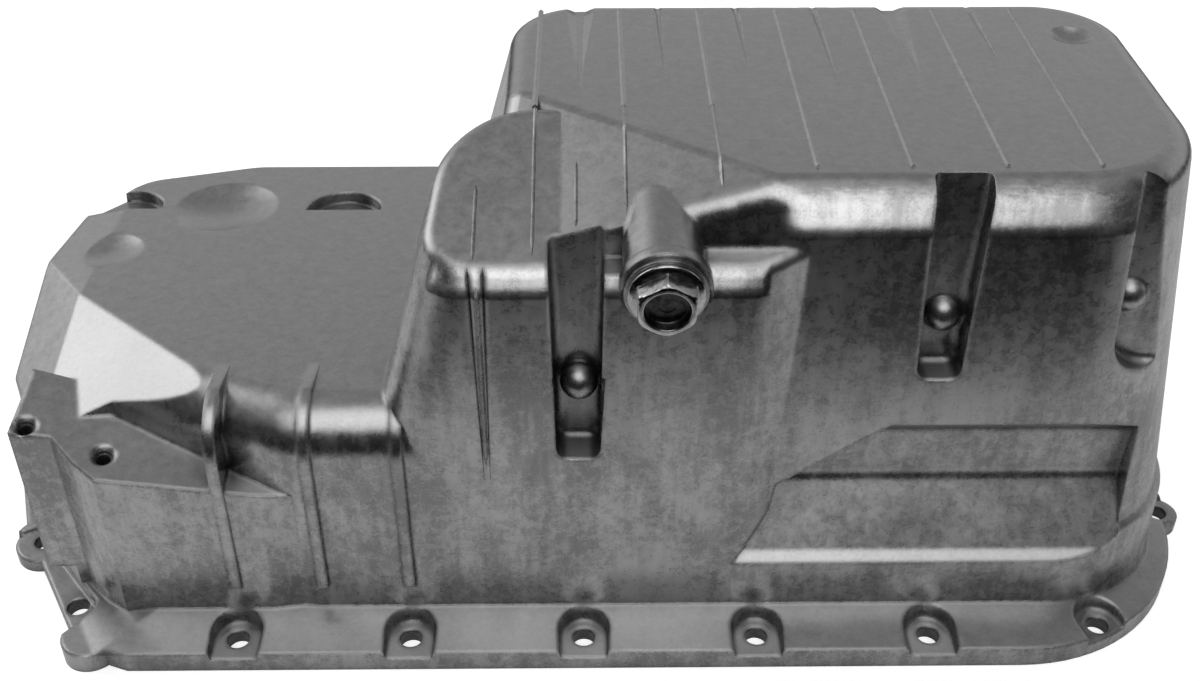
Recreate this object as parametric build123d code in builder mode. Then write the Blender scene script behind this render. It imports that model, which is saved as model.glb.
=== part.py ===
"""Engine oil pan: a cast aluminium pan with a deep sump, its drain plug and the plug's sealing washer.

Millimetres.  The pan stands on its joint face, as it does on a bench: the joint face is Z = 0 and the
sump points up.  X runs along the crankshaft and Y across the engine.  The origin is the centre of the
joint face.  A place across the pan is given as a depth behind the front row of bolts, and plan()
turns it into a point.
"""

import os
from math import cos, radians, sin, tan

from build123d import *

os.makedirs("parts", exist_ok=True)

# ---------------------------------------------------------------- joint flange
pan_length = 510.0  # over the end ears
row_span = 230.0  # front row of bolts to rear row
hole_pitch = 68.0
row_holes = 5
row_centre_x = -3.0
bolt_hole = 9.0  # clears an M8 bolt
rim_height = 9.0  # upright edge of the flange
flange_height = 13.0  # where the flange meets the wall
rim_margin = 10.6  # bolt row to flange edge
seat_height = 6.0  # metal left under a bolt head
seat_radius = 9.0
seat_draft = 14.0
ear_radius = 9.0
left_ear_radius = 12.0
ear_seat_radius = 7.5
lug_x = -197.0
lug_radius = 11.0

# ---------------------------------------------------------------- walls
wall = 4.5
wall_depth = 11.0  # front wall behind the front bolt row
end_wall_x = 238.0  # outer face of the end walls at the joint face
front_draft = 0.5
side_draft = 2.0
end_draft = 7.0
shallow_height = 106.0  # at its front edge
shallow_fall = 2.4  # degrees, towards the rear
shallow_round = 18.0
sump_height = 197.0
shoulder_drop = 24.0  # the shoulder's front edge below the sump's top
shoulder_back_drop = 8.4  # and 40 behind that edge
sump_back_depth = 187.0
sump_round = 9.0
shoulder_round = 5.0
skirt_height = 46.0  # low plinth round the right-hand corner
skirt_round = 4.0
corner_radius = 58.0  # right-hand corners of the wall at the joint face

# ---------------------------------------------------------------- scoop in the front wall
scoop_left = 54.0
scoop_right = 206.0
scoop_top = 97.0
scoop_bottom = 29.5
scoop_depth = 22.0

# ---------------------------------------------------------------- ribs, grooves and dishes
rib_pitch = 32.1  # stiffening lines across the top of the sump
first_rib_x = -19.4
top_ribs = 7
rib_height = 0.8
rib_width = 2.0
notch_depth = 5.0  # notches in the sump's rear edge, between the lines
front_rib_width = 4.5
front_rib_stand = 2.0
dish_radius = 62.0
dish_depth = 4.5
half_moon_radius = 17.0
half_moon_depth = 6.0
corner_dimple_radius = 14.0  # dimple in the sump's top by its far right corner
corner_dimple_depth = 3.0
ledge_right = 11.5  # notch beside the first pocket's mouth
ledge_drop = 29.0  # below the sump's top
ledge_depth = 24.0
shoulder_groove_drop = 15.0  # the grooves' upper end below the sump's top
shoulder_groove_low = 78.0

# ---------------------------------------------------------------- bracket at the left
bracket_height = 80.0
bracket_hole = 6.8  # tapping size for M8
bracket_hole_depth = 20.0
bracket_countersink = 10.0

# ---------------------------------------------------------------- drain plug
plug_x = 25.0
plug_drop = 26.0  # the plug's axis below the sump's top
plug_tilt = 6.0
plug_seat_depth = -2.0
thread_diameter = 14.0
thread_clearance = 0.05
thread_length = 16.0
boss_radius = 14.0
boss_length = 62.0
boss_pad_radius = 15.6
boss_pad_thickness = 5.0
washer_diameter = 28.0
washer_thickness = 1.6
washer_gap = 0.05  # between the washer and the plug's head
head_flange_diameter = 26.0
head_flange_thickness = 2.2
hex_across_flats = 19.0
hex_height = 9.0
head_dish_radius = 7.8
head_dish_depth = 1.2

front_row = -row_span / 2
shoulder_edge = sump_height - shoulder_drop
shoulder_back = sump_height - shoulder_back_drop


def plan(x, depth):
    """A point of the plan, from its X and its depth behind the front bolt row."""
    return (x, front_row + depth)


def lean(height, degrees_from_upright):
    """How far a drafted wall has moved at a height above the joint face."""
    return height * tan(radians(degrees_from_upright))


def leaning_block(footprint, height, inset, rounds):
    """A block between the joint face and a height, from footprint(z), a function giving its corners."""
    with BuildPart() as block:
        for level in (0.0, height):
            with BuildSketch(Plane.XY.offset(level)) as section:
                with BuildLine():
                    Polyline(*footprint(level, inset), close=True)
                make_face()
                corners = footprint(level, inset)
                for corner, radius in zip(corners, rounds):
                    if radius:
                        nearest = section.vertices().sort_by_distance((*corner, level))[0]
                        fillet(nearest, max(radius - inset, 1.0))
        loft(ruled=True)
    return block.part


# ---------------------------------------------------------------- forms of the casting
def cutting_plane(first, second, third, inset):
    """The plane through three points (x, depth, z), facing up, moved in by the inset."""
    a, b, c = (Vector(*plan(x, depth), z) for x, depth, z in (first, second, third))
    normal = (b - a).cross(c - a)
    if normal.Z < 0:
        normal = -normal
    return Plane(origin=a, z_dir=normal).offset(-inset)


def tub_footprint(z, inset):
    """The low body over the whole length, left end first."""
    front = wall_depth + lean(z, front_draft) + inset
    rear = row_span - wall_depth - lean(z, side_draft) - inset
    left = -end_wall_x + lean(z, side_draft) + inset
    right = end_wall_x - lean(z, end_draft) - inset
    return [
        plan(-113, front),
        plan(40, front),
        plan(40, 90),
        plan(right, 90),
        plan(right, rear),
        plan(-158, rear),
        plan(left + 29, rear - 14),
        plan(left + 6, rear - 41),
        plan(left, 132),
        plan(left + 1, 76),
        plan(left + 12, 56),
        plan(left + 25, front + 24),
        plan(-184, front + 29),
    ]


def sump_footprint(z, inset):
    """The deep sump at the right."""
    left = -86 + lean(z, 16.0) + inset
    right = end_wall_x - lean(z, end_draft) - inset
    front = 13 + lean(z, 2.5) + inset
    rear = sump_back_depth - lean(z, 3.0) - inset
    return [plan(left, front), plan(right, front), plan(right, rear), plan(left, rear)]


def shoulder_footprint(z, inset):
    """The block that carries the drain plug, flush with the front wall."""
    left = -106 + lean(z, 15.6) + inset
    front = wall_depth + lean(z, front_draft) + inset
    return [
        plan(left, front),
        plan(60, front),
        plan(86, front + 14),
        plan(86, 84 - inset),
        plan(left, 84 - inset),
    ]


def is_shallow_front_edge(edge):
    """True for the upper front edge of the low body, from the facet to the sump."""
    middle = edge.center()
    return middle.Z > shallow_height - 20 and middle.Y < front_row + 36 and middle.X > -176


def tub_form(inset):
    """Low body: a top that falls towards the rear, a rounded front edge and three facets at the left."""
    fall = radians(shallow_fall)
    top = Plane(origin=(*plan(0, 32), shallow_height), z_dir=(0, sin(fall), cos(fall))).offset(-inset)
    front_facet = cutting_plane((-209, 99, 103), (-143, 38, 105.5), (-206.5, 52, 88), inset)
    side_facet = cutting_plane((-209, 99, 103.2), (-236, 138, 96), (-234.5, 84, 80), inset)
    rear_facet = cutting_plane((-209, 99, 103.2), (-210, 131, 101.8), (-236, 138, 96), inset)
    rounds = (40, 0, 0, 0, 50, 30, 18, 14, 14, 10, 0, 0, 0)
    with BuildPart() as form:
        add(leaning_block(tub_footprint, shallow_height + 24, inset, rounds))
        split(bisect_by=top, keep=Keep.BOTTOM)
        fillet(form.edges().filter_by(is_shallow_front_edge), shallow_round - inset)
        for facet in (front_facet, side_facet, rear_facet):
            split(bisect_by=facet, keep=Keep.BOTTOM)
    return form.part


def sump_form(inset):
    """Deep sump, its top falling away at the front left."""
    with BuildPart() as form:
        add(leaning_block(sump_footprint, sump_height - inset, inset, (15, 50, 34, 30)))
        fall = cutting_plane((77, 20, sump_height + 1), (-10, 20, shoulder_edge), (-10, 60, shoulder_back), inset)
        split(bisect_by=fall, keep=Keep.BOTTOM)
        tops = form.faces().filter_by(lambda f: f.normal_at().Z > 0.8)
        fillet(tops.edges(), sump_round - inset)
    return form.part


def shoulder_form(inset, edge_round=0.0):
    """Shoulder in front of the sump, its top falling towards the front wall."""
    with BuildPart() as form:
        add(leaning_block(shoulder_footprint, sump_height - 1.3 * inset, inset, (20, 30, 0, 0, 34)))
        fall = cutting_plane((-59, 20, shoulder_edge), (13, 20, shoulder_edge), (13, 60, shoulder_back), inset)
        split(bisect_by=fall, keep=Keep.BOTTOM)
        tops = form.faces().filter_by(lambda f: f.normal_at().Z > 0.8)
        outer = tops.edges().filter_by(lambda e: e.center().X < 50 and e.center().Y < front_row + 80)
        if edge_round:
            fillet(outer, edge_round)
    return form.part


def skirt_footprint(z, inset):
    """The low plinth under the sump that follows the joint flange round the right-hand corner."""
    front = wall_depth + lean(z, front_draft) + inset
    right = end_wall_x - lean(z, side_draft) - inset
    return [plan(52, front), plan(right, front), plan(right, 150), plan(52, 150)]


def skirt_form(inset):
    """The plinth, with its upper edge rounded."""
    with BuildPart() as form:
        add(leaning_block(skirt_footprint, skirt_height - inset, inset, (0, corner_radius, 0, 0)))
        top = form.faces().sort_by(Axis.Z)[-1]
        fillet(top.edges().filter_by(lambda e: e.center().Y < front_row + 100), skirt_round - 0.5 * inset)
    return form.part


def scoop_form(grow):
    """The long scoop low in the sump's front wall, grown by the wall to make its back."""
    g = grow
    back = wall_depth + scoop_depth
    with BuildPart() as form:
        with BuildSketch(Plane.YZ.offset(scoop_left - 4 - g)):
            with BuildLine():
                Polyline(
                    (front_row - 20, scoop_top + 2 + g),
                    (front_row + back - 16, scoop_top + 2 + g),
                    (front_row + back - 2 + g, scoop_top - 11 + g),
                    (front_row + back + g, scoop_top - 35 - g * 0.4),
                    (front_row + back - 18 + g * 0.7, scoop_bottom + 8.5 - g * 0.7),
                    (front_row + 6, scoop_bottom - g),
                    (front_row - 20, scoop_bottom - g),
                    close=True,
                )
            make_face()
        extrude(amount=scoop_right + 2 * g + 4 - scoop_left)
        lengthwise = form.edges().filter_by(Axis.X)
        fillet(lengthwise.filter_by(lambda e: e.center().Y > front_row + back - 6), 7 + g)
        with BuildSketch(Plane.XZ.offset(-front_row + 30)):
            with BuildLine():
                Polyline(
                    (scoop_left + 57 - g, scoop_top + 2 + 2 * g),
                    (scoop_right + 90, scoop_top + 2 + 2 * g),
                    (scoop_right + 90, 10),
                    (scoop_left - 14 - g, 10),
                    (scoop_left - g, 33),
                    (scoop_left + 14 - g, 58),
                    (scoop_left + 16 - g, 71),
                    close=True,
                )
            make_face()
        extrude(amount=-120, mode=Mode.INTERSECT)
    return form.part


def upright_pocket(x, width, depth, top, bottom, grow=0.0):
    """A slot let into the front wall, open at the top, with a rounded lower end and back."""
    g = grow
    half = width / 2 + g
    with BuildPart() as form:
        with BuildSketch(Plane.XZ.offset(-front_row + 30)):
            with BuildLine():
                Polyline(
                    (x - half, bottom - g), (x + half, bottom - g), (x + half + 2, top), (x - half - 2, top),
                    close=True,
                )
            make_face()
            fillet(vertices().group_by(Axis.Y)[0], half * 0.6)
        extrude(amount=-(30 + depth + g))
        back = form.faces().sort_by(Axis.Y)[-1]
        fillet(back.edges(), min(3 + g, half * 0.5))
    return form.part


# ---------------------------------------------------------------- joint flange
right_edge = pan_length / 2 - ear_radius
left_edge = -pan_length / 2
hole_xs = [row_centre_x + (i - (row_holes - 1) / 2) * hole_pitch for i in range(row_holes)]
corner_hole = plan(201.4, 4.6)
right_ear = plan(right_edge, 70)
left_hole = plan(-207, 18)
left_ear = plan(-232, 56)
lug_centre = plan(lug_x, 0)
row_points = [plan(x, 0) for x in hole_xs]
paired_points = row_points + [corner_hole, right_ear, left_hole]  # the rear half has these too


def flange_plate():
    """The flange up to its upright edge, front half first, then mirrored to the rear."""
    edge = -rim_margin
    with BuildPart() as plate:
        with BuildSketch():
            with BuildLine():
                Polyline(
                    plan(-181, edge),
                    plan(right_edge, edge),
                    plan(right_edge, row_span / 2),
                    plan(left_edge, row_span / 2),
                    plan(left_edge, 100),
                    plan(-241, 62),
                    plan(-206, 4),
                    plan(-193, -6),
                    close=True,
                )
            make_face()
            for x, depth, radius in ((right_edge, edge, 78), (left_edge, 100, 30)):
                corner = vertices().sort_by_distance((*plan(x, depth), 0))[0]
                fillet(corner, radius)
            with Locations(lug_centre):
                Circle(lug_radius)
            with Locations(right_ear):
                Circle(ear_radius)
            with Locations(left_ear):
                Circle(left_ear_radius)
            mirror(about=Plane.XZ)
        extrude(amount=rim_height)
    return plate.part


def rim_slope():
    """The flange above its upright edge, rising to the foot of the wall."""
    with BuildPart() as slope:
        for level, margin in ((rim_height, rim_margin), (flange_height, -wall_depth - 1)):
            with BuildSketch(Plane.XY.offset(level)):
                left = left_edge + rim_margin - margin
                right = right_edge + margin - rim_margin
                front = front_row - margin
                with BuildLine():
                    Polyline(
                        (left + 62, front), (right, front), (right, -front), (left + 62, -front),
                        (left, 15), (left, -15), close=True,
                    )
                make_face()
                fillet(vertices().group_by(Axis.X)[-1], 78 + margin - rim_margin)
        loft(ruled=True)
    return slope.part


def bolt_seat(radius):
    """A bolt seat let into the flange and open towards its edge, which is at -Y."""
    with BuildPart() as seat:
        with BuildSketch(Plane.XY.offset(seat_height)):
            Circle(radius)
            with Locations((0, -20)):
                Rectangle(2 * radius, 40)
        extrude(amount=flange_height - seat_height + 1, taper=-seat_draft)
    return seat.part


def left_recess():
    """The three-cornered sunk area round the left bolt hole."""
    with BuildPart() as recess:
        with BuildSketch(Plane.XY.offset(seat_height)):
            with BuildLine():
                Polyline(plan(lug_x, 15), plan(lug_x - 16, -6), plan(-262, 38), plan(-236, 62), close=True)
            make_face()
            fillet(vertices().sort_by_distance((*plan(lug_x, 15), seat_height))[0], 5)
        extrude(amount=flange_height)
    return recess.part


# ---------------------------------------------------------------- bracket at the left
bracket_top = Plane(origin=(*plan(-178, 14), bracket_height), z_dir=(0.14, -0.2, 1))


def bracket_form():
    """The pillar at the left that carries two threaded holes on its sloping top."""
    with BuildPart() as form:
        with BuildSketch():
            with BuildLine():
                Polyline(
                    plan(-219, 28), plan(-204, 28), plan(-193, 17), plan(-184, 10.4), plan(-125, 10.4),
                    plan(-112, 12), plan(-110, 40), plan(-218, 60), close=True,
                )
            make_face()
        extrude(amount=bracket_height + 40)
        split(bisect_by=bracket_top, keep=Keep.BOTTOM)
    return form.part


def bracket_drill(x, depth):
    """A threaded hole square to the bracket's top, with its countersink."""
    height = bracket_height - 0.14 * (x + 178) + 0.2 * (depth - 14)
    top = Plane(origin=(*plan(x, depth), height), z_dir=bracket_top.z_dir)
    with BuildPart() as drill:
        with BuildSketch(top.offset(-bracket_hole_depth)):
            Circle(bracket_hole / 2)
        extrude(amount=bracket_hole_depth + 2)
        with BuildSketch(top.offset(-(bracket_countersink - bracket_hole) / 2)):
            Circle(bracket_hole / 2)
        extrude(amount=(bracket_countersink - bracket_hole) / 2 + 1, taper=-45)
    return drill.part


# ---------------------------------------------------------------- drain plug boss
tilt = radians(plug_tilt)
seat_point = (*plan(plug_x, plug_seat_depth), sump_height - plug_drop)
seat_plane = Plane(origin=seat_point, x_dir=(1, 0, 0), z_dir=(0, -cos(tilt), -sin(tilt)))


def rod(radius, start, length):
    """A rod on the plug's axis, from a distance behind the seat."""
    with BuildPart() as form:
        with BuildSketch(seat_plane.offset(-start)):
            Circle(radius)
        extrude(amount=-length)
    return form.part


# ---------------------------------------------------------------- ribs
def front_rib(x, width, stand, last_depth):
    """A rib up the low body's front wall and over its rounded edge."""
    front = front_row + wall_depth - stand
    low, turn = 23.0, shallow_height - shallow_round
    with BuildPart() as rib:
        with BuildSketch(Plane.YZ.offset(x - width / 2)):
            with BuildLine():
                outer_turn = (front + lean(turn, front_draft), turn)
                crown = (front + stand + shallow_round + 0.8, shallow_height + stand)
                Line((front + stand + 1, low), (front, low + 2))
                Line((front, low + 2), outer_turn)
                RadiusArc(outer_turn, crown, shallow_round + stand)
                Line(crown, (front_row + last_depth, shallow_height - 1.2))
                Polyline((front_row + last_depth, shallow_height - 1.2), (front_row + last_depth, turn),
                         (front + stand + 1, low))
            make_face()
        extrude(amount=width)
    return rib.part


def top_line(x, near, far):
    """A low ridge across the top of the sump, from the near end to the far end."""
    with BuildPart() as line:
        with BuildSketch(Plane.XZ.offset(-front_row - near)):
            with BuildLine():
                Polyline(
                    (x - rib_width / 2, sump_height - 1),
                    (x - rib_width / 2, sump_height),
                    (x, sump_height + rib_height),
                    (x + rib_width / 2, sump_height),
                    (x + rib_width / 2, sump_height - 1),
                    close=True,
                )
            make_face()
        extrude(amount=-(far - near))
    return line.part


def edge_notch(x, width, depth, near):
    """A notch in the sump's rear edge that runs out forwards as a narrowing groove."""
    rear = sump_back_depth - lean(sump_height, 3.0) + 4
    with BuildPart() as notch:
        stations = ((rear, width / 2, depth), (rear - 15, width * 0.3, depth * 0.35), (near, 0.4, 0.1))
        for at, half, low in stations:
            with BuildSketch(Plane.XZ.offset(-front_row - at)):
                with BuildLine():
                    Polyline(
                        (x - half * 1.6, sump_height + 0.5), (x - half * 0.4, sump_height - low),
                        (x + half * 0.4, sump_height - low), (x + half * 1.6, sump_height + 0.5),
                        close=True,
                    )
                make_face()
        loft(ruled=True)
    return notch.part


def wall_groove(x_top, x_low):
    """A groove down the shoulder's front wall that narrows and runs out."""
    with BuildPart() as groove:
        groove_top = sump_height - shoulder_groove_drop
        ends = ((groove_top, x_top, 1.6, 1.9), (shoulder_groove_low, x_low, 0.5, 0.3))
        for z, x, half, deep in ends:
            front = front_row + wall_depth + lean(z, front_draft)
            with BuildSketch(Plane.XY.offset(z)):
                with BuildLine():
                    Polyline((x - half, front - 1), (x, front + deep), (x + half, front - 1), close=True)
                make_face()
        loft(ruled=True)
    return groove.part


def dish(x, depth, radius, deep, grow):
    """A shallow round dish let into the top of the low body."""
    fallen = shallow_height - (depth - 32) * tan(radians(shallow_fall))
    with BuildPart() as form:
        with Locations((*plan(x, depth), fallen + radius - deep)):
            Sphere(radius + grow)
    return form.part


def half_moon(x, depth, grow):
    """A half-moon pocket in the top of the low body, straight at the front and round behind."""
    fallen = shallow_height - (depth - 32) * tan(radians(shallow_fall))
    with BuildPart() as form:
        with BuildSketch(Plane.XY.offset(fallen - half_moon_depth - grow)):
            with Locations(plan(x, depth)):
                Circle(half_moon_radius + grow)
            with Locations(plan(x, depth - half_moon_radius - 2 * grow)):
                Rectangle(3 * half_moon_radius, 2 * half_moon_radius + 2 * grow, mode=Mode.SUBTRACT)
        extrude(amount=half_moon_depth + grow + 20)
    return form.part


# ---------------------------------------------------------------- pan casting
def ledge_notch(grow):
    """The small notch in the shoulder's edge, to the right of the first pocket."""
    low = sump_height - ledge_drop - grow
    right, back = ledge_right + grow, front_row + ledge_depth + grow
    with BuildPart() as form:
        with BuildSketch(Plane.XY.offset(low)):
            with BuildLine():
                Polyline((-4, front_row), (right, front_row), (right, back), (-4, back), close=True)
            make_face()
        extrude(amount=30)
    return form.part


def hollow_forms(grow):
    """The scoop, the three upright pockets and the notch, grown by the wall to make their backs."""
    g = grow
    return [
        scoop_form(g),
        upright_pocket(-4.5, 16, 26, sump_height - 7 + 2 * g, 88, g),
        upright_pocket(125, 16, 30, sump_height + 3 + 2 * g, 119, g),
        upright_pocket(215, 56, 32, sump_height + 3 + 2 * g, 117, g),
        ledge_notch(g),
    ]


def hollow_core(form, backs):
    """What is empty inside one form of the casting: the form without the backs of the hollows."""
    with BuildPart() as core:
        add(form)
        for back in backs:
            add(back, mode=Mode.SUBTRACT)
    return core.part


scoop_back, first_back, second_back, third_back, ledge_back = hollow_forms(wall)


def tray_hollows(grow):
    """The dishes and half-moon pockets in the top of the low body."""
    return [
        dish(-165, 178, dish_radius, dish_depth, grow),
        dish(-208, 138, dish_radius * 0.7, dish_depth * 0.6, grow),
        half_moon(-111.5, 172, grow),
        half_moon(-211, 174, grow),
    ]


cores = [
    hollow_core(tub_form(wall), [first_back] + tray_hollows(wall)),
    hollow_core(sump_form(wall), [scoop_back, first_back, second_back, third_back, ledge_back]),
    hollow_core(shoulder_form(wall), [scoop_back, first_back, ledge_back]),
    rod(boss_radius - wall, 20, boss_length - 20 - wall),
]

with BuildPart() as casting:
    for form in (tub_form(0), sump_form(0), shoulder_form(0, shoulder_round), skirt_form(0)):
        add(form)
    add(bracket_form())
    add(flange_plate())
    add(rim_slope())
    for x in (hole_xs[0], (hole_xs[0] + hole_xs[1]) / 2, hole_xs[1]):
        add(front_rib(x, front_rib_width, front_rib_stand, 52))
    for form in hollow_forms(0) + tray_hollows(0):
        add(form, mode=Mode.SUBTRACT)
    add(upright_pocket(-4, 15, 17, 125, 88), mode=Mode.SUBTRACT)
    for x, bump_depth, z in ((-4, 19, 116), (126, 27, 140), (192, 30, 146)):
        with Locations((*plan(x, bump_depth + 4), z)):
            Sphere(7.0)
    rib_xs = [first_rib_x + i * rib_pitch for i in range(top_ribs)]
    for i, x in enumerate(rib_xs):
        add(top_line(x, 34 if i > 2 else 80, sump_back_depth - 20))
    for i, x in enumerate(rib_xs[:-1]):
        wide = i in (0, 4)
        width, deep = (14.0, notch_depth) if wide else (4.0, 2.6)
        add(edge_notch(x + rib_pitch / 2, width, deep, 96 + 9 * (i % 3)), mode=Mode.SUBTRACT)
    for x_top, x_low in ((-41.3, -39.4), (-35.7, -37.2)):
        add(wall_groove(x_top, x_low), mode=Mode.SUBTRACT)
    with Locations((*plan(192, 141), sump_height + corner_dimple_radius - corner_dimple_depth)):
        Sphere(corner_dimple_radius, mode=Mode.SUBTRACT)
    add(rod(boss_radius, 0, boss_length))
    add(rod(boss_pad_radius, 0, boss_pad_thickness))
    for core in cores:
        add(core, mode=Mode.SUBTRACT)
    # bolt seats, front and rear
    seat = bolt_seat(seat_radius)
    ear_seat = bolt_seat(ear_seat_radius)
    with Locations(*[Location((*p, 0)) for p in row_points], Location((*corner_hole, 0), (0, 0, 18))):
        add(seat, mode=Mode.SUBTRACT)
    with Locations(*[Location((p[0], -p[1], 0), (0, 0, 180)) for p in row_points],
                   Location((corner_hole[0], -corner_hole[1], 0), (0, 0, 162))):
        add(seat, mode=Mode.SUBTRACT)
    right_ear_turn = (0, 0, 90)
    with Locations(Location((*right_ear, 0), right_ear_turn),
                   Location((right_ear[0], -right_ear[1], 0), right_ear_turn),
                   Location((*left_ear, 0), (0, 0, -62))):
        add(ear_seat, mode=Mode.SUBTRACT)
    recess = left_recess()
    add(recess, mode=Mode.SUBTRACT)
    add(recess.mirror(Plane.XZ), mode=Mode.SUBTRACT)
    # bolt holes; behind the left ear's twin stands the wall, so that ear has none
    holes = [(x, side * y, 0) for x, y in paired_points for side in (1, -1)]
    with Locations(*holes, (*left_ear, 0)):
        Cylinder(bolt_hole / 2, 2 * flange_height + 2, mode=Mode.SUBTRACT)
    # bracket holes and the drain
    for x, depth in ((-214, 32), (-183, 22)):
        add(bracket_drill(x, depth), mode=Mode.SUBTRACT)
    add(rod(thread_diameter / 2 + thread_clearance, -1, 26), mode=Mode.SUBTRACT)
casting.part.label = "pan_casting"

# ---------------------------------------------------------------- sealing washer and drain plug
with BuildPart() as washer:
    with BuildSketch(seat_plane):
        Circle(washer_diameter / 2)
        Circle(thread_diameter / 2 + thread_clearance, mode=Mode.SUBTRACT)
    extrude(amount=washer_thickness)
washer.part.label = "plug_sealing_washer"

head_plane = seat_plane.offset(washer_thickness + washer_gap)
with BuildPart() as plug:
    with BuildSketch(head_plane):
        Circle(head_flange_diameter / 2)
    extrude(amount=head_flange_thickness)
    with BuildSketch(head_plane.offset(head_flange_thickness)):
        RegularPolygon(hex_across_flats / 2, 6, major_radius=False)
    extrude(amount=hex_height - head_flange_thickness)
    with BuildSketch(head_plane.offset(hex_height)):
        Circle(head_dish_radius)
    extrude(amount=-head_dish_depth, mode=Mode.SUBTRACT)
    with BuildSketch(head_plane):
        Circle(thread_diameter / 2)
    extrude(amount=-(thread_length + washer_thickness + washer_gap))
    tip = plug.faces().sort_by(Axis.Y)[-1]
    chamfer(tip.edges(), 1.2)
plug.part.label = "drain_plug"

export_step(casting.part, "parts/pan_casting.step")
export_step(washer.part, "parts/plug_sealing_washer.step")
export_step(plug.part, "parts/drain_plug.step")
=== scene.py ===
"""Looks of the engine oil pan: its cast metal, its drain plug, its threads and the studio round it."""

import logging
import math
from dataclasses import dataclass, field
from enum import Enum, IntEnum
from typing import Any

import bmesh
import bpy
import numpy as np
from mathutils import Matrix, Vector


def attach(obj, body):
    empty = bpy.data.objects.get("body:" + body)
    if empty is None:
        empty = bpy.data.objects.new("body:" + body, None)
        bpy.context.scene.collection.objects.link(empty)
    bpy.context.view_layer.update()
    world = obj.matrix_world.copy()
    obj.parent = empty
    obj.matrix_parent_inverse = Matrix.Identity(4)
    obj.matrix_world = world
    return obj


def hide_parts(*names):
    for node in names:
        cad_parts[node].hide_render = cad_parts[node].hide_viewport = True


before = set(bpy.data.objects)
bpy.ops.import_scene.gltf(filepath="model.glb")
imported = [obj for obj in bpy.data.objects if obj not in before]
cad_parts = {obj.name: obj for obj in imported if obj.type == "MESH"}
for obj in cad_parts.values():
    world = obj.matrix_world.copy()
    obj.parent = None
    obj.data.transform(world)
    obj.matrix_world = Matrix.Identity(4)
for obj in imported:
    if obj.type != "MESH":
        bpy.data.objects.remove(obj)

log = logging.getLogger("oil_pan")

MM = 0.001
FRONT_ROW = -115.0  # Y of the front bolt row in millimetres, from which depths are counted rearwards
SEAM = 1e-7  # points nearer than this, in metres, are one
RIGHTWARDS = (1.0, 0.0, 0.0)
FORWARDS = (0.0, -1.0, 0.0)
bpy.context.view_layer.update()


class Body(Enum):
    """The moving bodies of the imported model."""

    PAN = "pan"
    WASHER = "washer"
    PLUG = "plug"


class Node(Enum):
    """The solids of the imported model."""

    CASTING = "pan_casting"
    WASHER = "plug_sealing_washer"
    PLUG = "drain_plug"


class Slot(Enum):
    """The record's material slots."""

    CASTING = "cast_aluminium"
    PLUG = "plug_steel"
    WASHER = "washer_metal"


# ------------------------------------------------------------------------------------------ shader maths
@dataclass
class Tone:
    """A shader socket that takes part in sums, so that shader maths reads as a formula."""

    bench: "Bench"
    socket: bpy.types.NodeSocket

    def __add__(self, other: Any) -> "Tone":
        """This socket plus another value."""
        return self.bench.maths("ADD", self, other)

    def __radd__(self, other: Any) -> "Tone":
        """Another value plus this socket."""
        return self.bench.maths("ADD", other, self)

    def __sub__(self, other: Any) -> "Tone":
        """This socket less another value."""
        return self.bench.maths("SUBTRACT", self, other)

    def __rsub__(self, other: Any) -> "Tone":
        """Another value less this socket."""
        return self.bench.maths("SUBTRACT", other, self)

    def __mul__(self, other: Any) -> "Tone":
        """This socket times another value."""
        return self.bench.maths("MULTIPLY", self, other)

    def ramp(self, low: float, high: float, start: float = 0.0, end: float = 1.0) -> "Tone":
        """A smooth step of this socket.

        Args:
            low: the value at which the step starts.
            high: the value at which the step ends.
            start: what the step gives below low.
            end: what the step gives above high.

        Returns:
            The stepped socket.
        """
        sockets = {"Value": self, "From Min": low, "From Max": high, "To Min": start, "To Max": end}
        return self.bench.add("ShaderNodeMapRange", {"interpolation_type": "SMOOTHSTEP"}, sockets)


@dataclass(frozen=True)
class Grain:
    """One noise: its scale in cells a metre, and its detail, roughness and warp."""

    scale: float
    detail: float
    rough: float
    warp: float = 0.0


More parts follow.
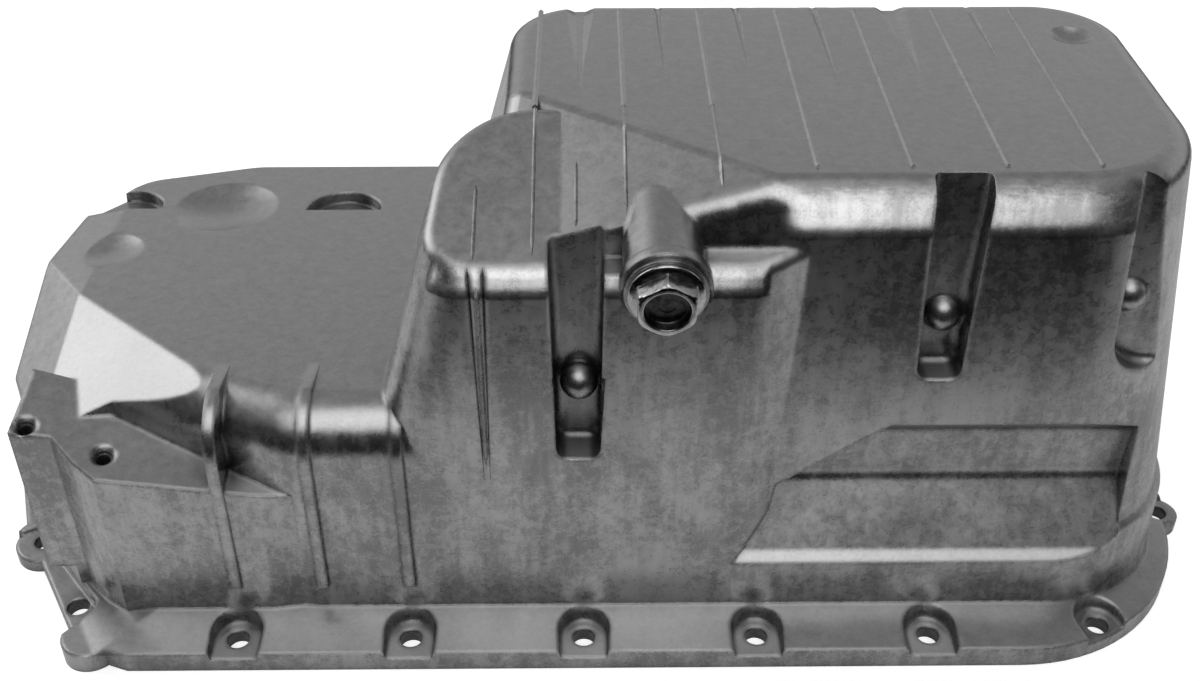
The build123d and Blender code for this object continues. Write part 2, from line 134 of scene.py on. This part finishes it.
@dataclass
class Bench:
    """A node tree and the one method that adds nodes to it."""

    tree: bpy.types.NodeTree

    def add(self, kind: str, settings: dict[str, Any] | None = None,
            sockets: dict[Any, Any] | None = None, out: Any = 0) -> Tone:
        """Adds a node.

        Args:
            kind: the node's type.
            settings: the node's own settings, which are set first.
            sockets: numbers, colours or Tones for its inputs, by name or place.
            out: the name or place of the output wanted.

        Returns:
            The wanted output.
        """
        node = self.tree.nodes.new(kind)
        for key, value in (settings or {}).items():
            setattr(node, key, value)
        for key, value in (sockets or {}).items():
            if isinstance(value, Tone):
                self.tree.links.new(value.socket, node.inputs[key])
            else:
                node.inputs[key].default_value = value
        return Tone(self, node.outputs[out])

    def close(self, kind: str, surface: Tone) -> None:
        """Ends the tree with its output node."""
        self.tree.links.new(surface.socket, self.tree.nodes.new(kind).inputs["Surface"])

    def maths(self, operation: str, first: Any, second: Any) -> Tone:
        """One Math node on two values."""
        return self.add("ShaderNodeMath", {"operation": operation}, {0: first, 1: second})

    def vector(self, operation: str, first: Any, second: Any, out: Any = 0) -> Tone:
        """One Vector Math node on two vectors."""
        return self.add("ShaderNodeVectorMath", {"operation": operation}, {0: first, 1: second}, out)

    def parts(self, vector: Tone) -> tuple[Tone, Tone, Tone]:
        """The three numbers of a vector."""
        split = self.add("ShaderNodeSeparateXYZ", None, {0: vector})
        outputs = split.socket.node.outputs
        return Tone(self, outputs[0]), Tone(self, outputs[1]), Tone(self, outputs[2])

    def blend(self, share: Any, first: Any, second: Any) -> Tone:
        """A colour between two colours."""
        return self.add("ShaderNodeMix", {"data_type": "RGBA"}, {0: share, 6: first, 7: second}, 2)

    def blend_normals(self, share: Any, first: Any, second: Any) -> Tone:
        """A direction between two directions."""
        return self.add("ShaderNodeMix", {"data_type": "VECTOR"}, {0: share, 4: first, 5: second}, 1)

    def place(self, stretch: tuple[float, float, float] = (1.0, 1.0, 1.0)) -> Tone:
        """The object's own coordinates, stretched."""
        coordinates = self.add("ShaderNodeTexCoord", None, None, "Object")
        return self.add("ShaderNodeMapping", None, {"Vector": coordinates, "Scale": stretch})

    def noise(self, where: Tone, grain: Grain) -> Tone:
        """Cloudy noise between 0 and 1, about 0.5 on average."""
        sockets = {"Vector": where, "Scale": grain.scale, "Detail": grain.detail,
                   "Roughness": grain.rough, "Distortion": grain.warp}
        return self.add("ShaderNodeTexNoise", None, sockets)

    def bevel(self, radius: float, samples: int) -> Tone:
        """The normal with its edges rounded to a radius."""
        return self.add("ShaderNodeBevel", {"samples": samples}, {"Radius": radius})


def new_material(name: str) -> tuple[bpy.types.Material, Bench]:
    """Makes an empty material.

    Args:
        name: the material's name.

    Returns:
        The material and a bench on its node tree.
    """
    material = bpy.data.materials.new(name)
    material.use_nodes = True
    material.node_tree.nodes.clear()
    return material, Bench(material.node_tree)


def grey(value: float) -> tuple[float, float, float, float]:
    """A neutral colour."""
    return (value, value, value, 1.0)


# ------------------------------------------------------------------------------------------ finishes
@dataclass(frozen=True)
class Roll:
    """A front edge whose wall is shaded as a broad roll, in metres.

    The wall leans back from the edge's height down over the reach, as if it swelled by the rise.  It does
    so only this far behind the frame's middle and between the start and the end along X.
    """

    edge: float
    reach: float
    rise: float
    behind: float
    start: float
    end: float
    fade_in: float = 14.0 * MM
    fade_out: float = 4.0 * MM
    fade_behind: float = 3.0 * MM


@dataclass(frozen=True)
class CastFinish:
    """Sand-cast aluminium: mottled grey, softly rounded edges, fine grain, faint runs down the walls,
    painted shade in its corners.
    """

    name: str = "cast_aluminium"
    dark: float = 0.27
    light: float = 0.54
    metallic: float = 0.94
    roughness: float = 0.28
    edge_radius: float = 2.6 * MM
    line_radius: float = 0.6 * MM
    line_level: float = 190.0 * MM
    line_fade: float = 4.0 * MM
    grain_height: float = 0.10 * MM
    grain_strength: float = 0.55
    # painted shade: the near-black grey that corners and recesses are darkened towards, and how far the
    # occlusion looks for them
    painted_shade: float = 0.10
    painted_shade_reach: float = 22.0 * MM
    clouds: Grain = Grain(26.0, 5.0, 0.6)
    mottle: Grain = Grain(240.0, 7.0, 0.72, 0.3)
    speckle: Grain = Grain(820.0, 3.0, 0.7)
    streaks: Grain = Grain(170.0, 4.0, 0.6)
    streak_stretch: tuple[float, float, float] = (1.0, 1.0, 0.16)
    rolls: tuple[Roll, ...] = (
        Roll(edge=197.0 * MM, reach=21.0 * MM, rise=11.5 * MM, behind=90.0 * MM,
             start=72.0 * MM, end=216.0 * MM),
        Roll(edge=172.0 * MM, reach=14.0 * MM, rise=6.6 * MM, behind=98.0 * MM,
             start=-60.0 * MM, end=58.0 * MM),
    )

    def rounded(self, bench: Bench, edges: Tone, where: Tone, facing: Tone) -> Tone:
        """Leans the front walls back below their upper edges, as the soft mould left them.

        Below each edge the wall is shaded as if it swelled by its rise times a smooth step of the
        distance below the edge over its reach.  The leaning is kept to what faces the front, lies
        outside the front wall's plane and is between the edge's two ends.

        Args:
            bench: the material's bench.
            edges: the normal so far.
            where: the object's coordinates.
            facing: the surface's own direction.

        Returns:
            The normal with both edges rounded.
        """
        across, along, level = bench.parts(where)
        forward = (0.0 - bench.parts(facing)[1]).ramp(0.15, 0.60)
        normal = edges
        for roll in self.rolls:
            leaning = bench.add("ShaderNodeBump", None, {
                "Strength": 1.0, "Distance": 1.0, "Normal": edges,
                "Height": (roll.edge - level).ramp(0.0, roll.reach, 0.0, roll.rise),
            })
            entered = across.ramp(roll.start - roll.fade_in, roll.start)
            inside = entered * across.ramp(roll.end, roll.end + roll.fade_out, 1.0, 0.0)
            share = forward * inside * (0.0 - along).ramp(roll.behind - roll.fade_behind, roll.behind)
            normal = bench.blend_normals(share, normal, leaning)
        return normal

    def colour(self, bench: Bench, noises: tuple[Tone, Tone, Tone, Tone], pits: Tone, upright: Tone) -> Tone:
        """The metal's colour: even on the tops, patchy on the walls, darkened towards near-black in the
        corners and recesses as painted shade.

        Args:
            bench: the material's bench.
            noises: the clouds, mottle, speckle and streaks.
            pits: where the dark grains lie.
            upright: 1 on the walls and 0 on the tops.

        Returns:
            The colour.
        """
        clouds, mottle, speckle, streaks = noises
        rubs = (clouds * 0.30 + mottle * 0.45 + speckle * 0.25).ramp(0.43, 0.58)
        stain = (clouds * 0.35 + streaks * 0.65).ramp(0.40, 0.60)
        patchy = rubs * 0.62 + stain * 0.42 - pits * 0.30
        even = 0.46 + (mottle - 0.5) * 0.9 + (speckle - 0.5) * 0.5
        tone = patchy * upright + even * (1 - upright)
        unshaded_tone = bench.blend(tone, grey(self.dark), grey(self.light))
        # ambient occlusion finds the corners and recesses, whose colour is darkened there as painted shade
        reach = {"Distance": self.painted_shade_reach}
        open_air = bench.add("ShaderNodeAmbientOcclusion", {"samples": 4}, reach, "AO")
        return bench.blend(open_air.ramp(0.22, 0.62), grey(self.painted_shade), unshaded_tone)

    def form(self, bench: Bench, where: Tone, facing: Tone) -> Tone:
        """The normal of the form: soft edges, crisper at the top for its fine lines, and the rolls.

        Args:
            bench: the material's bench.
            where: the object's coordinates.
            facing: the surface's own direction.

        Returns:
            The normal, before the grain.
        """
        soft = bench.bevel(self.edge_radius, 4)
        crisp = bench.bevel(self.line_radius, 3)
        ribbed = bench.parts(where)[2].ramp(self.line_level, self.line_level + self.line_fade)
        return self.rounded(bench, bench.blend_normals(ribbed, soft, crisp), where, facing)

    def make(self) -> bpy.types.Material:
        """Builds the material.

        Returns:
            The material, on Object coordinates.
        """
        material, bench = new_material(self.name)
        where = bench.place()
        facing = bench.add("ShaderNodeNewGeometry", None, None, "Normal")
        upright = 1 - bench.maths("ABSOLUTE", bench.parts(facing)[2], 0.0).ramp(0.45, 0.85)
        clouds = bench.noise(where, self.clouds)
        mottle = bench.noise(where, self.mottle)
        speckle = bench.noise(where, self.speckle)
        streaks = bench.noise(bench.place(self.streak_stretch), self.streaks)
        pits = speckle.ramp(0.56, 0.72)
        dulling = (1 - upright) * 0.06 + (mottle - 0.5) * 0.26 + (clouds - 0.5) * 0.10
        bump = bench.add("ShaderNodeBump", None, {
            "Strength": self.grain_strength,
            "Distance": self.grain_height,
            "Height": mottle * 0.55 + speckle * 0.45 - pits * upright * 0.25,
            "Normal": self.form(bench, where, facing),
        })
        surface = bench.add("ShaderNodeBsdfPrincipled", None, {
            "Base Color": self.colour(bench, (clouds, mottle, speckle, streaks), pits, upright),
            "Metallic": self.metallic,
            "Roughness": self.roughness + dulling,
            "Normal": bump,
        })
        bench.close("ShaderNodeOutputMaterial", surface)
        return material


@dataclass(frozen=True)
class TurnedFinish:
    """Turned or plated small metal: bright, with fine rings of tool marks and a few dull spots."""

    name: str
    tone: float
    spread: float
    roughness: float
    edge_radius: float = 0.35 * MM
    scratch_height: float = 0.02 * MM
    scratch_strength: float = 0.35
    spots: Grain = Grain(420.0, 4.0, 0.6)
    scratches: Grain = Grain(900.0, 3.0, 0.6)
    scratch_stretch: tuple[float, float, float] = (1.0, 6.0, 1.0)

    def make(self) -> bpy.types.Material:
        """Builds the material.

        Returns:
            The material, on Object coordinates.
        """
        material, bench = new_material(self.name)
        dull = bench.noise(bench.place(), self.spots)
        marks = bench.noise(bench.place(self.scratch_stretch), self.scratches)
        darker, paler = grey(self.tone - self.spread), grey(self.tone + self.spread)
        bump = bench.add("ShaderNodeBump", None, {
            "Strength": self.scratch_strength,
            "Distance": self.scratch_height,
            "Height": marks,
            "Normal": bench.bevel(self.edge_radius, 6),
        })
        surface = bench.add("ShaderNodeBsdfPrincipled", None, {
            "Base Color": bench.blend(dull.ramp(0.35, 0.65), darker, paler),
            "Metallic": 1.0,
            "Roughness": self.roughness + (dull - 0.5) * 0.25,
            "Normal": bump,
        })
        bench.close("ShaderNodeOutputMaterial", surface)
        return material


# ------------------------------------------------------------------------------------------ surfaces
def place_mesh(mesh: bpy.types.Mesh) -> bpy.types.Object:
    """Puts a mesh in the scene as an object of the same name."""
    piece = bpy.data.objects.new(mesh.name, mesh)
    bpy.context.scene.collection.objects.link(piece)
    return piece


def dress(piece: bpy.types.Object, *materials: bpy.types.Material) -> None:
    """Gives a piece these materials and no others."""
    piece.data.materials.clear()
    for material in materials:
        piece.data.materials.append(material)


def lay_surface(name: str, points: np.ndarray) -> bpy.types.Object:
    """Makes a closed mesh from a grid of points that meets itself along its columns.

    Each cell between two rows and two columns of the grid is one four-sided face.  Points that fall
    together, at a seam or a pole, are merged, and the faces are turned to point outwards.

    Args:
        name: the piece's name.
        points: the grid, as rows x columns x 3, in metres.

    Returns:
        The piece's object.
    """
    rows, columns = points.shape[:2]
    row, column = np.meshgrid(np.arange(rows - 1), np.arange(columns), indexing="ij")
    beside = (column + 1) % columns
    corners = [row * columns + column, row * columns + beside,
               (row + 1) * columns + beside, (row + 1) * columns + column]
    faces = np.stack(corners, axis=-1).reshape(-1, 4)
    mesh = bpy.data.meshes.new(name)
    mesh.from_pydata(points.reshape(-1, 3).tolist(), [], faces.tolist())
    shell = bmesh.new()
    shell.from_mesh(mesh)
    bmesh.ops.remove_doubles(shell, verts=shell.verts, dist=SEAM)
    bmesh.ops.recalc_face_normals(shell, faces=shell.faces)
    shell.to_mesh(mesh)
    shell.free()
    return place_mesh(mesh)


@dataclass(frozen=True)
class Axis:
    """A straight axis in the part's frame, with two directions square to it."""

    origin: tuple[float, float, float]
    along: tuple[float, float, float]

    def basis(self) -> tuple[np.ndarray, np.ndarray, np.ndarray]:
        """The unit directions: two across the axis, and the axis itself."""
        along = np.array(self.along) / np.linalg.norm(self.along)
        across = np.cross(along, RIGHTWARDS)
        across /= np.linalg.norm(across)
        return across, np.cross(along, across), along

    def around(self, angle: np.ndarray, radius: np.ndarray, height: np.ndarray) -> np.ndarray:
        """Points round the axis.

        The point is the origin, plus the height along the axis, plus the radius times the cosine of
        the angle along the first direction across and its sine along the second.

        Args:
            angle: turns round the axis, in radians.
            radius: distances from the axis, in metres.
            height: distances along the axis, in metres.

        Returns:
            The points, with one more dimension of size 3.
        """
        first, second, along = self.basis()
        angle, radius, height = np.broadcast_arrays(angle, radius, height)
        return (np.array(self.origin)
                + (radius * np.cos(angle))[..., None] * first
                + (radius * np.sin(angle))[..., None] * second
                + height[..., None] * along)


def lay_ridge(name: str, path: np.ndarray, out: tuple[float, float, float], width: float,
              height: float) -> bpy.types.Object:
    """Makes a low ridge with a triangular cross-section along a path.

    The ridge's foot is half its width to the left and the right of the path and a little under the
    surface.  Its crest stands off the path by the height times the swelling, which rises from 0 at each
    end of the path over a tenth of its length.

    Args:
        name: the piece's name.
        path: points along the surface, n x 3, in metres.
        out: the direction off the surface.
        width: the width of the foot.
        height: the height of the crest.

    Returns:
        The ridge.
    """
    share = np.linspace(0.0, 1.0, len(path))
    swell = np.clip(np.minimum(share, 1.0 - share) * 10.0, 0.0, 1.0)[:, None]
    off = np.array(out)[None, :]
    foot_depth = 0.4 * MM
    sunk = path - off * foot_depth
    side = np.array(RIGHTWARDS)[None, :] * width / 2.0 * swell
    crest = sunk + off * (height + foot_depth) * swell
    return lay_surface(name, np.stack([sunk - side, crest, sunk + side], axis=1))


# ------------------------------------------------------------------------------------------ sub-assemblies
@dataclass(frozen=True)
class Line:
    """A straight line on the pan's top: its X, and the depths of its near and far ends, in millimetres."""

    x: float
    near: float
    far: float


@dataclass(frozen=True)
class Slope:
    """The sump's top and the shoulder before it, in millimetres.

    The height is the lesser of the sump's top and a slope that starts at the shoulder's front edge,
    climbs towards the rear, and climbs to the right from a set X on.
    """

    top: float = 197.0
    edge: float = 173.0
    edge_depth: float = 20.0
    climb_back: float = 0.39
    climb_right: float = 0.2874
    climb_from: float = -10.0

    def height(self, x: float, depth: np.ndarray) -> np.ndarray:
        """Heights at one X and some depths."""
        climb = self.edge + max(0.0, x - self.climb_from) * self.climb_right
        return np.minimum(self.top, climb + (depth - self.edge_depth) * self.climb_back)


@dataclass(frozen=True)
class Bracket:
    """The bracket's sloped top and its two threaded holes, in millimetres but for the thread's sizes.

    The top's height is a set height less the fall to the right times the distance right of a set X,
    plus the climb rearwards times the distance behind a set depth.
    """

    normal: tuple[float, float, float] = (0.14, -0.2, 1.0)
    height: float = 80.0
    fall_right: float = 0.14
    x: float = -178.0
    climb_back: float = 0.2
    depth: float = 14.0
    holes: tuple[tuple[float, float], ...] = ((-214.0, 32.0), (-183.0, 22.0))
    bore_radius: float = 3.4 * MM
    crest_radius: float = 2.75 * MM
    pitch: float = 1.25 * MM
    turns: int = 11
    steps: int = 40
    thread_top: float = -1.9 * MM
    sink: float = 0.03 * MM
    half_width: float = 0.46

    def mouth(self, x: float, depth: float) -> tuple[float, float, float]:
        """The middle of a hole's mouth, in metres, from its X and its depth behind the front bolt row."""
        height = self.height - self.fall_right * (x - self.x) + self.climb_back * (depth - self.depth)
        return (x * MM, (depth + FRONT_ROW) * MM, height * MM)

    def thread(self, name: str, mouth: tuple[float, float, float]) -> bpy.types.Object:
        """Cuts one screw thread as a ridge wound down the bore.

        The ridge's cross-section is a triangle whose base lies just behind the wall of the bore.  Its
        point at an angle t has the radius of the wall less the crest's height, and a height that falls
        by one pitch for each full turn.  The ridge shrinks to nothing over its first and last half turn.

        Args:
            name: the piece's name.
            mouth: the middle of the hole's mouth.

        Returns:
            The ridge.
        """
        turn = np.linspace(0.0, self.turns * 2.0 * math.pi, self.turns * self.steps + 1)[:, None]
        total = turn[-1, 0]
        swell = np.clip(np.minimum(turn, total - turn) / math.pi, 0.0, 1.0)
        side = np.array([0.0, 1.0, 0.0])[None, :]
        offset = np.array([-self.half_width, 0.0, self.half_width])[None, :] * self.pitch
        base = self.bore_radius + self.sink
        radius = base - side * swell * (base - self.crest_radius)
        height = self.thread_top - turn / (2.0 * math.pi) * self.pitch + offset * swell
        return lay_surface(name, Axis(mouth, self.normal).around(turn, radius, height))

    def threads(self) -> list[bpy.types.Object]:
        """Cuts the threads of the holes."""
        return [self.thread(f"bracket_thread_{number}", self.mouth(x, depth))
                for number, (x, depth) in enumerate(self.holes, start=1)]


@dataclass(frozen=True)
class Ridges:
    """Low stiffening ridges that the casting's solid leaves out, in millimetres."""

    slope: Slope = Slope()
    lines: tuple[Line, ...] = (
        Line(-39.4, 15.0, 48.0), Line(-19.4, 15.0, 92.0), Line(-4.5, 27.0, 56.0),
        Line(12.7, 26.0, 92.0), Line(44.8, 26.0, 92.0),
    )
    line_width: float = 2.0
    line_height: float = 0.8
    line_lean: tuple[float, float, float] = (0.0, -0.2, 0.98)
    rib_x: float = -38.4
    rib_levels: tuple[float, float] = (82.0, 166.0)
    rib_width: float = 3.0
    rib_height: float = 1.1
    wall_foot: float = -104.0
    wall_draft: float = 0.00873
    steps: int = 60

    def on_shoulder(self, name: str, line: Line) -> bpy.types.Object:
        """Carries a stiffening line of the sump's top forwards over the shoulder."""
        depth = np.linspace(line.near, line.far, self.steps)
        height = self.slope.height(line.x, depth)
        path = np.stack([np.full_like(depth, line.x), depth + FRONT_ROW, height], axis=1)
        return lay_ridge(name, path * MM, self.line_lean, self.line_width * MM, self.line_height * MM)

    def on_wall(self, name: str) -> bpy.types.Object:
        """Lays the narrow rib between the two grooves in the shoulder's front wall."""
        level = np.linspace(*self.rib_levels, self.steps)
        wall = self.wall_foot + level * self.wall_draft
        path = np.stack([np.full_like(level, self.rib_x), wall, level], axis=1)
        return lay_ridge(name, path * MM, FORWARDS, self.rib_width * MM, self.rib_height * MM)

    def build(self) -> list[bpy.types.Object]:
        """Lays all the ridges."""
        ridges = [self.on_shoulder(f"shoulder_ridge_{number}", line)
                  for number, line in enumerate(self.lines, start=1)]
        return ridges + [self.on_wall("wall_ridge")]


@dataclass
class Casting:
    """The pan itself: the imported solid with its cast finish, its bracket's threads and its ridges."""

    finish: CastFinish = field(default_factory=CastFinish)
    bracket: Bracket = field(default_factory=Bracket)
    ridges: Ridges = field(default_factory=Ridges)

    def build(self) -> list[bpy.types.Object]:
        """Dresses the casting and adds its threads and ridges."""
        metal = self.finish.make()
        dress(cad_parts[Node.CASTING.value], metal)
        pieces = self.bracket.threads() + self.ridges.build()
        for piece in pieces:
            dress(piece, metal)
            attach(piece, Body.PAN.value)
        return pieces


class Cut(IntEnum):
    """What limits the plug's radius at a height: its thread, nothing else, or its hexagon."""

    THREAD = -1
    ROUND = 0
    HEXAGON = 1


@dataclass
class DrainPlug:
    """The flanged hexagon plug with its thread, and the washer under its head."""

    plug_finish: TurnedFinish = TurnedFinish("plug_steel", tone=0.52, spread=0.10, roughness=0.18)
    washer_finish: TurnedFinish = TurnedFinish("washer_metal", tone=0.50, spread=0.08, roughness=0.34)
    cup_finish: TurnedFinish = TurnedFinish("plug_cup", tone=0.09, spread=0.04, roughness=0.38)
    seat: tuple[float, float, float] = (25.0 * MM, -117.0 * MM, 171.0 * MM)
    tilt: float = 6.0
    head_offset: float = 1.65 * MM
    across_flats: float = 19.0 * MM
    pitch: float = 1.5 * MM
    thread_depth: float = 0.75
    cup_radius: float = 7.55 * MM
    cup_height: float = 5.0 * MM
    columns: int = 192

    def axis(self) -> Axis:
        """The plug's axis, from under its head outwards."""
        tilt = math.radians(self.tilt)
        along = (0.0, -math.cos(tilt), -math.sin(tilt))
        start = Vector(self.seat) + Vector(along) * self.head_offset
        return Axis(tuple(start), along)

    def profile(self) -> np.ndarray:
        """The plug's outline from its tip to the middle of its end.

        Returns:
            Rows of height, radius and kind of cut, in millimetres.
        """
        tip = [(-17.65, 0.0), (-17.65, 5.0), (-17.5, 5.6), (-16.5, 6.5)]
        shank = [(height, 6.97) for height in np.arange(-16.4, -1.2, 0.125)]
        neck = [(-1.1, 6.2), (-0.2, 6.2), (0.0, 6.6)]
        collar = [(0.0, 12.5), (0.12, 12.8), (0.4, 12.98), (1.3, 12.98), (1.65, 12.8), (1.9, 12.3),
                  (2.25, 11.3)]
        hexagon = [(2.5, 11.2), (2.8, 11.05), (7.6, 11.05), (8.2, 10.6), (8.7, 10.0), (8.9, 9.5),
                   (9.0, 9.0)]
        cup = [(9.0, 8.1), (8.9, 7.85), (8.5, 7.7), (5.9, 7.3), (5.6, 7.0), (5.5, 6.4), (5.5, 3.0),
               (5.3, 2.6), (5.3, 0.0)]
        runs = ((tip, Cut.ROUND), (shank, Cut.THREAD), (neck, Cut.ROUND), (collar, Cut.ROUND),
                (hexagon, Cut.HEXAGON), (cup, Cut.ROUND))
        return np.array([(height, radius, float(kind)) for run, kind in runs for height, radius in run])

    def body(self) -> bpy.types.Object:
        """Turns the profile round the axis.

        Where the hexagon cuts, the radius is the lesser of the profile's and the hexagon's, which is half
        the width across flats over the cosine of the angle from the nearest flat's middle.  Where the
        thread cuts, the radius is lowered by a clipped triangle wave of the height over the pitch less
        the share of a turn.

        Returns:
            The plug.
        """
        rows = self.profile()
        height, radius, kind = (rows[:, i][:, None] for i in range(3))
        angle = np.linspace(0.0, 2.0 * math.pi, self.columns, endpoint=False)[None, :]
        from_flat = angle % (math.pi / 3.0) - math.pi / 6.0
        flat = self.across_flats / MM / 2.0 / np.cos(from_flat)
        phase = (height / (self.pitch / MM) - angle / (2.0 * math.pi)) % 1.0
        groove = np.clip(1.2 * np.abs(2.0 * phase - 1.0) - 0.1, 0.0, 1.0)
        threaded = radius - (kind == Cut.THREAD) * self.thread_depth * groove
        shaped = np.where(kind == Cut.HEXAGON, np.minimum(radius, flat), threaded)
        return lay_surface("drain_plug_body", self.axis().around(angle, shaped * MM, height * MM))

    def mark_cup(self, mesh: bpy.types.Mesh) -> None:
        """Gives the dark, dull second finish to the faces inside the cup in the plug's end.

        A face is in the cup where its middle is nearer the axis than the cup's rim and higher along the
        axis than the cup's floor.
        """
        middles = np.empty(len(mesh.polygons) * 3)
        mesh.polygons.foreach_get("center", middles)
        axis = self.axis()
        from_start = middles.reshape(-1, 3) - np.array(axis.origin)
        along = axis.basis()[2]
        height = from_start @ along
        radius = np.linalg.norm(from_start - height[:, None] * along, axis=1)
        inside = (radius < self.cup_radius) & (height > self.cup_height)
        mesh.polygons.foreach_set("material_index", inside.astype(np.int32))
        mesh.update()

    def build(self) -> list[bpy.types.Object]:
        """Dresses the washer and puts the detailed plug in the place of its plain solid."""
        dress(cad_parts[Node.WASHER.value], self.washer_finish.make())
        plug = self.body()
        dress(plug, self.plug_finish.make(), self.cup_finish.make())
        self.mark_cup(plug.data)
        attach(plug, Body.PLUG.value)
        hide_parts(Node.PLUG.value)
        return [plug]


# ------------------------------------------------------------------------------------------ studio
@dataclass(frozen=True)
class Lamp:
    """A soft round lamp in the sky: where it is, how strong, and the cosines of its rim and core."""

    towards: tuple[float, float, float]
    strength: float
    rim: float
    core: float

    def glow(self, bench: Bench, direction: Tone) -> Tone:
        """The lamp's strength in each direction."""
        return bench.vector("DOT_PRODUCT", direction, self.towards, "Value").ramp(
            self.rim, self.core, 0.0, self.strength)


@dataclass
class Studio:
    """A pale table, a bright lamp over the front, another at the left, a dim room and the camera."""

    table: tuple[float, float, float, float] = (-0.75, -0.285, 0.75, 0.60)
    table_tone: float = 0.80
    table_lift: float = 0.60
    table_mirrored: float = 0.02
    front_lamp: Lamp = Lamp((0.0, -0.47, 0.883), strength=2.1, rim=0.84, core=0.94)
    side_lamp: Lamp = Lamp((-0.74, 0.36, 0.57), strength=2.0, rim=0.91, core=0.97)
    back_low: float = 0.56
    back_high: float = 0.26
    dim: float = 0.03
    below: float = 0.08
    lens: float = 42.6
    sensor: float = 36.0
    farthest: float = 60.0
    stand: tuple[float, float, float] = (0.0, -0.5015, 0.4282)
    pitch: float = 35.735
    yaw: float = 0.502
    roll: float = -0.003

    def lay_table(self) -> None:
        """Lays a pale matt table that shows as white round the part and keeps the part's shadow."""
        left, front, right, back = self.table
        mesh = bpy.data.meshes.new("table")
        corners = [(left, front, 0), (right, front, 0), (right, back, 0), (left, back, 0)]
        mesh.from_pydata(corners, [], [(0, 1, 2, 3)])
        material, bench = new_material("table")
        seen = bench.add("ShaderNodeLightPath", None, None, "Is Camera Ray")
        mirrored = bench.add("ShaderNodeLightPath", None, None, "Is Glossy Ray")
        matt = bench.add("ShaderNodeBsdfDiffuse", None, {"Color": grey(self.table_tone)})
        lift = seen * self.table_lift + mirrored * self.table_mirrored
        glow = bench.add("ShaderNodeEmission", None, {"Color": grey(1.0), "Strength": lift})
        bench.close("ShaderNodeOutputMaterial", bench.add("ShaderNodeAddShader", None, {0: matt, 1: glow}))
        table = place_mesh(mesh)
        dress(table, material)

    def light(self) -> None:
        """Lights the room: two lamps, a pale back and a dim front, with plain white for the camera alone."""
        world = bpy.data.worlds.new("studio")
        bpy.context.scene.world = world
        world.use_nodes = True
        world.node_tree.nodes.clear()
        bench = Bench(world.node_tree)
        direction = bench.add("ShaderNodeTexCoord", None, None, "Generated")
        _, away, up = bench.parts(direction)
        back = up.ramp(0.36, 0.62, self.back_low, self.back_high) * away.ramp(-0.25, 0.25)
        lamps = self.front_lamp.glow(bench, direction) + self.side_lamp.glow(bench, direction)
        strength = (self.dim + back + lamps) * up.ramp(-0.05, 0.02, self.below, 1.0)
        seen = bench.add("ShaderNodeLightPath", None, None, "Is Camera Ray")
        sky = bench.add("ShaderNodeBackground", None, {
            "Color": grey(1.0), "Strength": strength * (1 - seen) + seen,
        })
        bench.close("ShaderNodeOutputWorld", sky)

    def place_camera(self) -> None:
        """Stands the camera in front of the drain-plug side, looking down."""
        data = bpy.data.cameras.new("camera")
        data.lens = self.lens
        data.sensor_width = self.sensor
        data.clip_end = self.farthest
        camera = bpy.data.objects.new("camera", data)
        bpy.context.scene.collection.objects.link(camera)
        camera.location = self.stand
        turns = (90.0 - self.pitch, self.roll, -self.yaw)
        camera.rotation_euler = tuple(math.radians(angle) for angle in turns)
        bpy.context.scene.camera = camera

    def build(self) -> None:
        """Sets the whole studio."""
        bpy.context.scene.view_settings.view_transform = "Standard"
        self.lay_table()
        self.light()
        self.place_camera()


def main() -> None:
    """Builds the part's pieces and the studio in order, and reports each piece."""
    logging.basicConfig(level=logging.INFO, format="%(name)s: %(message)s")
    for assembly in (Casting(), DrainPlug()):
        for piece in assembly.build():
            log.info("%s: %d faces", piece.name, len(piece.data.polygons))
    Studio().build()


if __name__ == "__main__":
    main()
